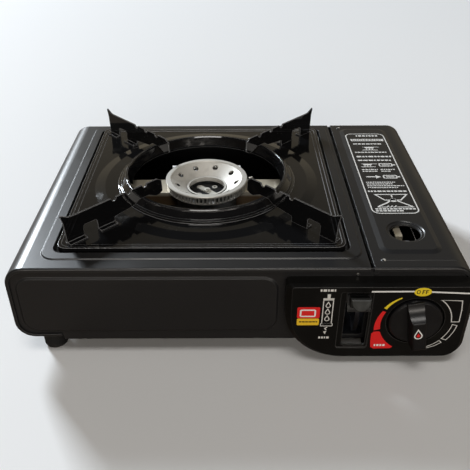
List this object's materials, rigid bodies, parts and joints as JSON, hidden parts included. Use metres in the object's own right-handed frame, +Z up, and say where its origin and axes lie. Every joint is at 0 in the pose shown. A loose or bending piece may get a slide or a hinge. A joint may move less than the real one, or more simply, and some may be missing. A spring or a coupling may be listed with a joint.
{
  "type": "portable gas stove",
  "caption": "Portable tabletop gas stove with a square enamelled drip pan, radial pan supports and a ring burner beside a cartridge bay under a hinged lid.",
  "frame": {"origin": "on the floor, at the centre of the footprint's bounding box", "axes": "+X to the lid side, +Y from the control side to the back, +Z up"},
  "size_m": [0.34, 0.2754, 0.112],
  "materials": {
    "black_coat": "satin",
    "enamel": "gloss",
    "zinc_steel": "satin",
    "bright_steel": "semi-gloss",
    "cream_plate": "satin",
    "cast_alloy": "satin",
    "die_cast": "satin",
    "dark_steel": "satin",
    "brass": "satin",
    "black_plastic": "satin",
    "white_ceramic": "gloss",
    "wire_sleeve": "matte",
    "rubber": "matte"
  },
  "bodies": {
    "stove": {"body_shell": "black_coat", "front_panel": "black_coat", "rear_panel": "black_coat", "base_plate": "zinc_steel", "cartridge_tray": "zinc_steel", "divider_wall": "zinc_steel", "hinge_pins": "bright_steel", "burner_bracket_left": "cream_plate", "burner_bracket_right": "cream_plate", "burner_base": "cast_alloy", "mixing_tube": "zinc_steel", "burner_head": "cast_alloy", "burner_inner_plate": "dark_steel", "burner_strap": "bright_steel", "burner_fasteners": "bright_steel", "gas_pipe": "brass", "gas_jet": "brass", "regulator_body": "die_cast", "regulator_cover": "die_cast", "regulator_screws": "brass", "regulator_bracket": "zinc_steel", "socket_plate": "cream_plate", "control_box": "black_plastic", "lever_bracket": "zinc_steel", "lever_pivot_pin": "bright_steel", "carriage_rivets": "bright_steel", "igniter_body": "black_plastic", "electrode_insulator": "white_ceramic", "electrode_tip": "bright_steel", "ignition_wire": "wire_sleeve", "foot_front_left": "rubber", "foot_front_right": "rubber", "foot_rear_left": "rubber", "foot_rear_right": "rubber", "panel_screws": "bright_steel"},
    "lid_body": {"lid": "black_coat"},
    "knob_body": {"knob": "black_plastic", "valve_spindle": "bright_steel"},
    "lever": {"lever_arm": "zinc_steel", "lever_tab": "black_plastic"},
    "carriage": {"cartridge_carriage": "zinc_steel"},
    "striker_body": {"striker": "bright_steel"},
    "pan": {"drip_pan": "enamel", "pan_support_front_left": "enamel", "pan_support_front_right": "enamel", "pan_support_rear_left": "enamel", "pan_support_rear_right": "enamel"}
  },
  "joints": [
    {"name": "lid_hinge", "type": "hinge", "parent": "stove", "child": "lid_body", "pos_m": [0.1645, 0.012, 0.027], "axis": [0, 1, 0], "range_deg": [0, 95]},
    {"name": "knob_turn", "type": "hinge", "parent": "stove", "child": "knob_body", "pos_m": [0.1285, -0.125, 0.045], "axis": [0, -1, 0], "range_deg": [0, 135]},
    {"name": "lock_lever", "type": "hinge", "parent": "stove", "child": "lever", "pos_m": [0.08525, -0.10075, 0.048], "axis": [1, 0, 0], "range_deg": [0, 64]},
    {"name": "carriage_slide", "type": "slide", "parent": "stove", "child": "carriage", "axis": [0, -1, 0], "range_m": [0, 0.01]},
    {"name": "striker_slide", "type": "slide", "parent": "stove", "child": "striker_body", "axis": [1, 0, 0], "range_m": [0, 0.005]},
    {"name": "pan_lift", "type": "slide", "parent": "stove", "child": "pan", "axis": [0, 0, 1], "range_m": [0, 0.06]}
  ],
  "couplings": [
    {"joint": "carriage_slide", "follows": "lock_lever", "m_per_rad": 0.008952},
    {"joint": "striker_slide", "follows": "knob_turn", "m_per_rad": 0.002122}
  ]
}
